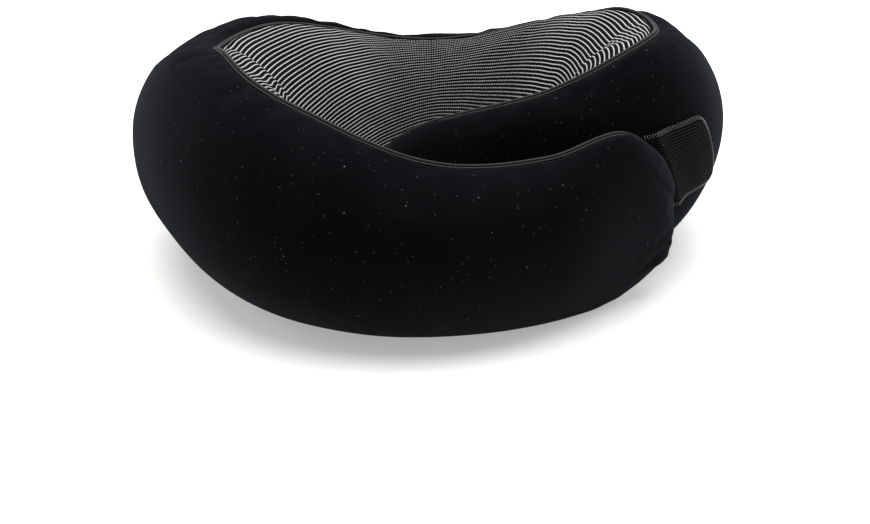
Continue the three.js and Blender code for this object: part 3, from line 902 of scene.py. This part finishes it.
def build_label():
    """A blank satin care label with turned-in ends."""
    a, b = unit_grid(40, 30)
    hem = 0.25 * (1 - smooth_step(0.1, 0.14, np.minimum(b, 1 - b)))
    ripple = 0.12 * np.sin(2 * np.pi * 1.5 * a + 0.6) * np.sin(np.pi * b)
    lift = 0.45 + hem + ripple
    outer = on_shell(TUCKED, *label_place(a, b), lift)
    inner = on_shell(TUCKED, *label_place(a, b), lift - LABEL_THICK)
    label = thick_sheet("blank_label", outer, inner, TUCKED)
    point_attribute(label, "weave", both_faces(a * LABEL_WIDTH, b * LABEL_HEIGHT, 0.0))
    return label


LABEL_STITCH = 0.055       # a stitch's length, as a share of the label's width
LABEL_STITCH_LIFT = 0.72


def build_label_stitches():
    """A row of stitches along the label's upper and lower edge."""
    spots = np.arange(0.04, 0.95, 0.085)
    a = np.tile(spots, 2)
    b = np.repeat([0.06, 0.94], len(spots))
    starts = on_shell(TUCKED, *label_place(a, b), LABEL_STITCH_LIFT)
    ends = on_shell(TUCKED, *label_place(a + LABEL_STITCH, b), LABEL_STITCH_LIFT)
    return threads("label_stitches", starts, ends, skin_normal(*label_place(a, b)), 0.14 * MM)


# ---------------------------------------------------------------- zip

HEM_NEAR = 2.7             # the cover's hems leave this much of the tape in sight
HEM_FAR = 10.2
HEM_RAISED = 0.62          # half its thickness
HEM_BASE = -0.6            # the level that its ends taper to
HEM_OVERRUN = 1.8          # degrees that it runs on beyond the opening's ends
HEM_POWER = 0.45           # of its outline, which makes it flat with round edges
TOOTH_PITCH = 1.35
TOOTH_ROOT = 1.75          # from the zip line to a tooth's root, and how far its tip crosses the line
TOOTH_CROSS = 0.35
COIL_HALF_ANGLE = 38.6
TOPSTITCH_LINE = 4.6       # from the zip line
TOPSTITCH_STEP = 1.3       # degrees from stitch to stitch
TOPSTITCH_LENGTH = 0.95


def zip_point(angle, up, out):
    """A point by its angle along the zip, up the slope from its line and out of its plane."""
    angle, up, out = spread(angle, up, out)
    radius = ZIP_RADIUS + up * LEAN_SINE + out * LEAN_COSINE
    turned = np.radians(angle)
    height = ZIP_HEIGHT + up * LEAN_COSINE - out * LEAN_SINE
    point = [-radius * np.sin(turned), radius * np.cos(turned), height]
    return (np.stack(point, -1) + ORIGIN) * MM


def zip_normal(angle):
    return unit(zip_point(angle, 0.0, 5.0) - zip_point(angle, 0.0, 0.0))


def build_hem(name, sign):
    """The cover's folded edge beside the zip, a flat round-edged band."""
    limit = ZIP_HALF_ANGLE + HEM_OVERRUN
    angles = np.linspace(-limit, limit, 220)[:, None]
    theta = np.linspace(0, 2 * np.pi, 25)[None, :-1]
    middle, half = 0.5 * (HEM_NEAR + HEM_FAR), 0.5 * (HEM_FAR - HEM_NEAR)
    up = middle + half * np.sign(np.cos(theta)) * np.abs(np.cos(theta)) ** HEM_POWER
    soft = 0.08 * np.sin(angles * 2.3) * np.sin(angles * 0.9)
    out = -0.35 + HEM_RAISED * np.sign(np.sin(theta)) * np.abs(np.sin(theta)) ** HEM_POWER + soft
    end = np.sqrt(np.clip((limit - np.abs(angles)) / 1.2, 0, 1))
    rings = zip_point(angles, sign * up, between(HEM_BASE, out, end))
    hem = mesh_object(name, rings.reshape(-1, 3), ring_faces(*rings.shape[:2], sign < 0))
    store_rest(hem)
    return hem


def build_teeth():
    """The coil's turns: two rows of small bent bars that meet on the zip line."""
    step = math.degrees(TOOTH_PITCH / ZIP_RADIUS)
    starts, ends, normals = [], [], []
    for i in range(int(2 * COIL_HALF_ANGLE / step)):
        angle = -COIL_HALF_ANGLE + (i + 0.5) * step
        sign = 1 if i % 2 else -1
        starts.append(zip_point(angle - 0.2 * step, sign * TOOTH_ROOT, -0.25))
        ends.append(zip_point(angle + 0.2 * step, -sign * TOOTH_CROSS, 0.1))
        normals.append(zip_normal(angle))
    return threads("zip_coil_turns", starts, ends, normals, 0.42 * MM)


def build_topstitch():
    """The seam line along each hem."""
    starts, ends, normals = [], [], []
    for sign in (-1, 1):
        for angle in np.arange(-ZIP_HALF_ANGLE + 0.5, ZIP_HALF_ANGLE - 0.5, TOPSTITCH_STEP):
            starts.append(zip_point(angle, sign * TOPSTITCH_LINE, 0.3))
            ends.append(zip_point(angle + TOPSTITCH_LENGTH, sign * TOPSTITCH_LINE, 0.3))
            normals.append(zip_normal(angle))
    return threads("zip_topstitch", starts, ends, normals, 0.16 * MM)


# ---------------------------------------------------------------- materials


class Graph:
    """A material's nodes, wired by short calls."""

    def __init__(self, name):
        self.material = bpy.data.materials.new(name)
        self.material.use_nodes = True
        self.tree = self.material.node_tree
        self.shader = self.tree.nodes["Principled BSDF"]

    def add(self, kind, *inputs, out=0, **settings):
        node = self.tree.nodes.new(f"ShaderNode{kind}")
        for key, value in settings.items():
            setattr(node, key, value)
        for i, value in enumerate(inputs):
            if value is not None:
                self.put(node.inputs[i], value)
        return node.outputs[out]

    def put(self, socket, value):
        if isinstance(value, bpy.types.NodeSocket):
            self.tree.links.new(value, socket)
        else:
            socket.default_value = value

    def math(self, operation, *inputs):
        return self.add("Math", *inputs, operation=operation)

    def times(self, *inputs):
        return self.math("MULTIPLY", *inputs)

    def zigzag(self, value, top):
        """The value, folded back and forth between 0 and top."""
        return self.math("PINGPONG", value, top)

    def here(self):
        """Where a point lies in its object."""
        return self.add("TexCoord", out=3)

    def attribute(self, name, out="Vector"):
        return self.add("Attribute", attribute_name=name, out=out)

    def split(self, vector):
        node = self.tree.nodes.new("ShaderNodeSeparateXYZ")
        self.tree.links.new(vector, node.inputs[0])
        return node.outputs

    def noise(self, vector, scale, detail=2.0):
        node = self.tree.nodes.new("ShaderNodeTexNoise")
        self.tree.links.new(vector, node.inputs["Vector"])
        node.inputs["Scale"].default_value = scale
        node.inputs["Detail"].default_value = detail
        return node.outputs["Fac"]

    def specks(self, vector, scale, radius, share):
        """1 on small round specks in a share of the cells, and 0 elsewhere."""
        node = self.tree.nodes.new("ShaderNodeTexVoronoi")
        self.tree.links.new(vector, node.inputs["Vector"])
        node.inputs["Scale"].default_value = scale
        near = self.smooth(node.outputs["Distance"], radius, radius * 0.5)
        chosen = self.math("LESS_THAN", self.split(node.outputs["Color"])[0], share)
        return self.times(near, chosen)

    def smooth(self, value, low, high, to_low=0.0, to_high=1.0):
        return self.add("MapRange", value, low, high, to_low, to_high, interpolation_type="SMOOTHSTEP")

    def mix(self, factor, a, b):
        node = self.tree.nodes.new("ShaderNodeMix")
        node.data_type = "RGBA"
        self.put(node.inputs["Factor"], factor)
        self.put(node.inputs[6], a)
        self.put(node.inputs[7], b)
        return node.outputs[2]

    def bump(self, height, distance, strength=1.0, normal=None):
        node = self.tree.nodes.new("ShaderNodeBump")
        node.inputs["Strength"].default_value = strength
        node.inputs["Distance"].default_value = distance
        self.tree.links.new(height, node.inputs["Height"])
        if normal is not None:
            self.tree.links.new(normal, node.inputs["Normal"])
        return node.outputs[0]

    def finish(self, **sockets):
        for name, value in sockets.items():
            self.put(self.shader.inputs[name.replace("_", " ")], value)
        return self.material


def grey(value, blue=1.0):
    return (value, value, value * blue, 1.0)


def sheen(graph, weight, roughness, tint=(1, 1, 1, 1), specular=0.15):
    graph.shader.inputs["Sheen Weight"].default_value = weight
    graph.shader.inputs["Sheen Roughness"].default_value = roughness
    graph.shader.inputs["Sheen Tint"].default_value = tint
    graph.shader.inputs["Specular IOR Level"].default_value = specular


def jersey_material():
    g = Graph("black_jersey")
    rest = g.attribute("rest")
    cloudy = g.smooth(g.noise(rest, 22, 3.0), 0.35, 0.7)
    base = g.mix(cloudy, (0.0014, 0.0015, 0.0019, 1), (0.0022, 0.0024, 0.0029, 1))
    fine = g.times(g.specks(rest, 420, 0.2, 0.22), 0.22)
    dots = g.times(g.specks(rest, 190, 0.11, 0.16), 0.45)
    bits = g.specks(rest, 80, 0.06, 0.14)
    lint = g.math("MAXIMUM", g.math("MAXIMUM", fine, dots), bits)
    color = g.mix(g.times(lint, 0.3), base, (0.30, 0.31, 0.33, 1))
    fuzz = g.bump(g.noise(rest, 2600, 1.0), 0.00012, 0.5)
    nap = g.bump(g.noise(rest, 420, 3.0), 0.0002, 0.3, fuzz)
    sheen(g, 0.04, 0.48, (0.82, 0.90, 1.0, 1), specular=0.0)
    return g.finish(Base_Color=color, Roughness=0.92, Normal=nap)


def knit_material():
    g = Graph("dotted_knit")
    row, column, solid = g.split(g.attribute("stitch"))
    across = g.math("ADD", g.zigzag(row, 0.5), g.times(solid, 0.05))
    beside = g.zigzag(column, 0.5)
    line = g.smooth(across, 0.25, 0.09)
    gap = g.math("MAXIMUM", g.smooth(beside, 0.10, 0.24), solid)
    fluff = g.noise(g.attribute("stitch"), 2.6, 2.0)
    yarn = g.mix(solid, grey(0.24), grey(0.4))
    white = g.times(g.times(line, gap), g.smooth(fluff, 0.2, 0.5, 0.78, 1.0))
    # Painted shade: the white rows fade to black beside the seams.
    white = g.times(white, g.smooth(g.attribute("seam_shade", out="Fac"), 0.75, 1.15))
    color = g.mix(white, (0.0035, 0.0035, 0.0042, 1), yarn)
    raised = g.bump(white, 0.00025, 0.8)
    sheen(g, 0.0, 0.4, specular=0.02)
    return g.finish(Base_Color=color, Roughness=0.88, Normal=raised)


def piping_material():
    g = Graph("knit_piping")
    distance, turn, crown = g.split(g.attribute("yarn"))
    rib = g.zigzag(g.math("ADD", distance, g.times(turn, 3.0)), 0.4)
    # Painted highlight and painted shade: the beads' crowns are lighter, the grooves between and beside
    # them darker.
    ridge = g.smooth(crown, 0.5, 1.0, 0.06, 1.0)
    light = g.times(ridge, g.smooth(rib, 0.03, 0.3, 0.45, 1.0))
    color = g.mix(light, (0.0008, 0.0008, 0.001, 1), (0.032, 0.0325, 0.035, 1))
    sheen(g, 0.01, 0.4, specular=0.06)
    return g.finish(Base_Color=color, Roughness=0.5, Normal=g.bump(rib, 0.0004, 0.7))


def webbing_material():
    g = Graph("ribbed_webbing")
    length, rib, edge = g.split(g.attribute("weave"))
    ridge = g.zigzag(rib, 0.5)
    pick = g.zigzag(length, 0.45)
    grain = g.noise(g.attribute("weave"), 1.7, 2.0)
    light = g.times(g.smooth(ridge, 0.2, 0.36), g.smooth(pick, 0.12, 0.36))
    light = g.times(light, g.smooth(grain, 0.25, 0.7, 0.15, 1.0))
    light = g.times(light, g.smooth(edge, 1.6, 3.2, 0.35, 1.0))
    color = g.mix(light, (0.0014, 0.0014, 0.0016, 1), (0.032, 0.032, 0.034, 1))
    sheen(g, 0.0, 0.4, specular=0.03)
    return g.finish(Base_Color=color, Roughness=0.8, Normal=g.bump(light, 0.0002, 0.8))


def hook_material():
    """Rows of small stiff hooks on the tab's underside."""
    g = Graph("hook_tape")
    across, along_tab, _ = g.split(g.attribute("weave"))
    one, other = g.zigzag(across, 0.5), g.zigzag(along_tab, 0.45)
    hook = g.times(g.smooth(one, 0.15, 0.4), g.smooth(other, 0.12, 0.34))
    color = g.mix(hook, (0.004, 0.004, 0.0045, 1), (0.03, 0.03, 0.032, 1))
    sheen(g, 0.0, 0.4, specular=0.25)
    return g.finish(Base_Color=color, Roughness=0.45, Normal=g.bump(hook, 0.0006, 0.9))


def loop_material():
    """The brushed loop pile that the hooks grip."""
    g = Graph("loop_pile")
    weave = g.attribute("weave")
    tangle = g.noise(weave, 2.4, 4.0)
    curl = g.noise(weave, 0.35, 2.0)
    color = g.mix(g.smooth(tangle, 0.35, 0.7), (0.004, 0.004, 0.0046, 1), (0.022, 0.022, 0.024, 1))
    sheen(g, 0.1, 0.5)
    height = g.math("ADD", tangle, g.times(curl, 0.5))
    return g.finish(Base_Color=color, Roughness=0.95, Normal=g.bump(height, 0.0006, 0.9))


def thread_material(name, dark, light):
    g = Graph(name)
    where = g.here()
    ply = g.noise(where, 5200, 1.0)
    sheen(g, 0.2, 0.4)
    return g.finish(Base_Color=g.mix(g.smooth(ply, 0.3, 0.7), dark, light), Roughness=0.7,
                    Normal=g.bump(ply, 0.0001, 0.6))


def tape_material():
    """Herringbone twill of the zip tapes."""
    g = Graph("zip_twill")
    where = g.here()
    x, _, z = g.split(where)
    rise = g.zigzag(g.times(z, 420.0), 1.0)
    twill = g.zigzag(g.math("ADD", g.times(x, 1500.0), rise), 0.5)
    color = g.mix(g.smooth(twill, 0.1, 0.4), (0.004, 0.004, 0.0045, 1), (0.016, 0.016, 0.0175, 1))
    sheen(g, 0.05, 0.4)
    return g.finish(Base_Color=color, Roughness=0.8, Normal=g.bump(twill, 0.0003, 0.7))


def coil_material():
    g = Graph("zip_nylon")
    where = g.here()
    worn = g.smooth(g.noise(where, 900, 2.0), 0.45, 0.75)
    sheen(g, 0.0, 0.4, specular=0.5)
    return g.finish(Base_Color=g.mix(worn, (0.006, 0.006, 0.007, 1), (0.02, 0.02, 0.022, 1)),
                    Roughness=g.smooth(worn, 0.0, 1.0, 0.5, 0.32))


def metal_material():
    """Black-lacquered zinc, rubbed lighter in places."""
    g = Graph("zip_lacquered_zinc")
    where = g.here()
    worn = g.smooth(g.noise(where, 520, 4.0), 0.56, 0.7)
    scratch = g.noise(where, 2400, 2.0)
    g.shader.inputs["Metallic"].default_value = 0.85
    return g.finish(Base_Color=g.mix(worn, (0.012, 0.012, 0.013, 1), (0.19, 0.19, 0.2, 1)),
                    Roughness=g.smooth(scratch, 0.3, 0.7, 0.28, 0.46),
                    Normal=g.bump(scratch, 0.00005, 0.4))


def label_material():
    g = Graph("label_satin")
    across, along_label, _ = g.split(g.attribute("weave"))
    warp = g.zigzag(g.times(along_label, 3.0), 0.5)
    weft = g.zigzag(g.times(across, 3.0), 0.5)
    weave = g.times(g.smooth(warp, 0.05, 0.3), g.smooth(weft, 0.02, 0.2))
    soiled = g.smooth(g.noise(g.attribute("weave"), 0.12, 3.0), 0.4, 0.8)
    base = g.mix(soiled, (0.78, 0.78, 0.76, 1), (0.66, 0.65, 0.62, 1))
    sheen(g, 0.3, 0.3)
    return g.finish(Base_Color=g.mix(weave, (0.5, 0.5, 0.49, 1), base), Roughness=0.5,
                    Normal=g.bump(weave, 0.00012, 0.5))


def foam_material():
    """Open-celled memory foam with pores of several sizes."""
    g = Graph("memory_foam")
    where = g.attribute("rest")
    pores = g.math("MAXIMUM", g.specks(where, 420, 0.35, 0.6), g.specks(where, 150, 0.2, 0.3))
    mottle = g.smooth(g.noise(where, 30, 3.0), 0.35, 0.7)
    base = g.mix(mottle, (0.80, 0.76, 0.63, 1), (0.74, 0.69, 0.54, 1))
    return g.finish(Base_Color=g.mix(g.times(pores, 0.5), base, (0.42, 0.37, 0.25, 1)),
                    Roughness=0.95, Normal=g.bump(g.math("SUBTRACT", 1.0, pores), 0.0006, 0.6))


def liner_material():
    """Thin white tricot with fine vertical wales."""
    g = Graph("liner_tricot")
    where = g.attribute("rest")
    x, y, z = g.split(where)
    wale = g.zigzag(g.times(g.math("ADD", x, y), 900.0), 0.5)
    course = g.zigzag(g.times(z, 1100.0), 0.5)
    loop = g.times(g.smooth(wale, 0.08, 0.35), g.smooth(course, 0.05, 0.3, 0.5, 1.0))
    return g.finish(Base_Color=g.mix(loop, (0.55, 0.55, 0.54, 1), (0.74, 0.74, 0.73, 1)),
                    Roughness=0.9, Normal=g.bump(loop, 0.00018, 0.6))


def floor_material():
    """A pale sweep, lit faintly from beneath so that the shadows stay light."""
    g = Graph("pale_floor")
    where = g.here()
    mottle = g.smooth(g.noise(where, 3.0, 2.0), 0.3, 0.7)
    g.shader.inputs["Emission Color"].default_value = (1.0, 0.99, 0.97, 1)
    g.shader.inputs["Emission Strength"].default_value = 0.36
    return g.finish(Base_Color=g.mix(mottle, grey(0.64), grey(0.66)), Roughness=0.85)


MATERIALS = {
    "jersey": jersey_material(),
    "knit": knit_material(),
    "piping": piping_material(),
    "webbing": webbing_material(),
    "hooks": hook_material(),
    "loops": loop_material(),
    "grey_thread": thread_material("grey_thread", grey(0.07), grey(0.17)),
    "black_thread": thread_material("black_thread", grey(0.007), grey(0.03)),
    "tape": tape_material(),
    "coil": coil_material(),
    "metal": metal_material(),
    "label": label_material(),
    "foam": foam_material(),
    "liner": liner_material(),
}


def dress(obj, material):
    obj.data.materials.clear()
    obj.data.materials.append(MATERIALS[material])
    return obj


def dress_node(node, material):
    """A better material on a CAD node that keeps its own shape."""
    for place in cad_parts[node].material_slots:
        place.material = MATERIALS[material]


# ---------------------------------------------------------------- pieces, some of them on their bodies


def bend_with_arm(obj):
    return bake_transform(obj)


for side, arm in ARM_BODY.items():
    core = dress(build_core(side), "foam")
    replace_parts(bend_with_arm(core), "foam_back", f"foam_{arm}")
    liner = dress(build_liner(side), "liner")
    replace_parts(bend_with_arm(liner), "liner_back", f"liner_{arm}")
    shell = dress(build_shell(side), "jersey")
    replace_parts(bend_with_arm(shell), "cover_back", f"cover_{arm}")
    knit = dress(build_knit(side), "knit")
    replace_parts(bend_with_arm(knit), "panel_back", f"panel_{arm}")
    piping = dress(build_piping(side), "piping")
    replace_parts(bend_with_arm(piping), "piping_back_upper", "piping_back_lower", f"piping_{arm}")


def curl_with_tab(obj):
    """Bakes the object's place into its mesh."""
    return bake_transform(obj)


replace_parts(curl_with_tab(dress(build_tab(), "webbing")), "tab_webbing")
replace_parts(curl_with_tab(dress(build_hook_pad(), "hooks")), "tab_hook_pad")
curl_with_tab(dress(build_overlock(), "grey_thread"))
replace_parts(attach(dress(build_loop_patch(), "loops"), "tucked_arm"), "loop_patch")

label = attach(dress(build_label(), "label"), "back")
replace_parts(label, "care_label")
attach(dress(build_label_stitches(), "grey_thread"), "back")

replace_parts(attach(dress(build_teeth(), "coil"), "back"), "zip_coil")
for hem_name, hem_sign in [("zip_hem_upper", 1), ("zip_hem_lower", -1)]:
    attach(dress(build_hem(hem_name, hem_sign), "jersey"), "back")
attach(dress(build_topstitch(), "black_thread"), "back")
for node in ("zip_tape_upper", "zip_tape_lower"):
    dress_node(node, "tape")
for node in ("zip_stop_closed", "zip_stop_open", "zip_slider", "zip_pull"):
    dress_node(node, "metal")

# ---------------------------------------------------------------- floor, light and camera


LIGHT_TARGET = Vector((0, 0, 0.05))


def area_light(name, place, size, power):
    data = bpy.data.lights.new(name, "AREA")
    data.shape = "DISK"
    data.size = size
    data.energy = power
    obj = bpy.data.objects.new(name, data)
    obj.location = place
    obj.rotation_euler = (LIGHT_TARGET - Vector(place)).to_track_quat("-Z", "Y").to_euler()
    bpy.context.scene.collection.objects.link(obj)


# The light tent, dark on the camera's side: from the first y of a direction to the second,
# its strength rises from the third number to the fourth.
TENT_FALL = (-0.9, 0.2, 0.3, 0.5)


def build_stage():
    reach = 6.0            # metres, so that the floor's edge is out of every view
    corners = [(-reach, -reach, 0), (reach, -reach, 0), (reach, reach, 0), (-reach, reach, 0)]
    floor = mesh_object("floor", corners, [(0, 1, 2, 3)])
    floor.data.materials.append(floor_material())
    world = bpy.data.worlds.new("studio")
    world.use_nodes = True
    nodes, links = world.node_tree.nodes, world.node_tree.links
    direction = nodes.new("ShaderNodeTexCoord").outputs["Generated"]
    split = nodes.new("ShaderNodeSeparateXYZ")
    links.new(direction, split.inputs[0])
    fall = nodes.new("ShaderNodeMapRange")
    fall.interpolation_type = "SMOOTHSTEP"
    for i, value in enumerate(TENT_FALL, start=1):
        fall.inputs[i].default_value = value
    links.new(split.outputs[1], fall.inputs[0])
    background = nodes["Background"]
    background.inputs["Color"].default_value = (1, 1, 1, 1)
    links.new(fall.outputs[0], background.inputs["Strength"])
    bpy.context.scene.world = world
    area_light("overhead", (0.0, 0.15, 2.2), 3.0, 122)
    area_light("left_side", (-1.4, 0.25, 0.7), 0.7, 4)
    area_light("right_side", (1.4, 0.35, 0.8), 0.7, 7)


CAMERA_ELEVATION = 20.8    # degrees that it stands above the aim point
CAMERA_DISTANCE = 1.1
CAMERA_PITCH = 3.06        # degrees that the view's middle lies below the aim point
CAMERA_YAW = 0.1           # and to its right
CAMERA_LENS = 92.2
AIM = Vector((0.001, 0.006, 0.05))


def build_camera():
    tilt = math.radians(CAMERA_ELEVATION)
    back = Vector((0, -math.cos(tilt), math.sin(tilt)))
    data = bpy.data.cameras.new("camera")
    data.lens = CAMERA_LENS
    data.clip_start = 0.01
    camera = bpy.data.objects.new("camera", data)
    camera.location = AIM + back * CAMERA_DISTANCE
    camera.rotation_euler = (
        math.radians(90 - CAMERA_ELEVATION - CAMERA_PITCH),
        0,
        math.radians(-CAMERA_YAW),
    )
    bpy.context.scene.collection.objects.link(camera)
    bpy.context.scene.camera = camera


build_stage()
build_camera()
bpy.context.scene.view_settings.view_transform = "Standard"
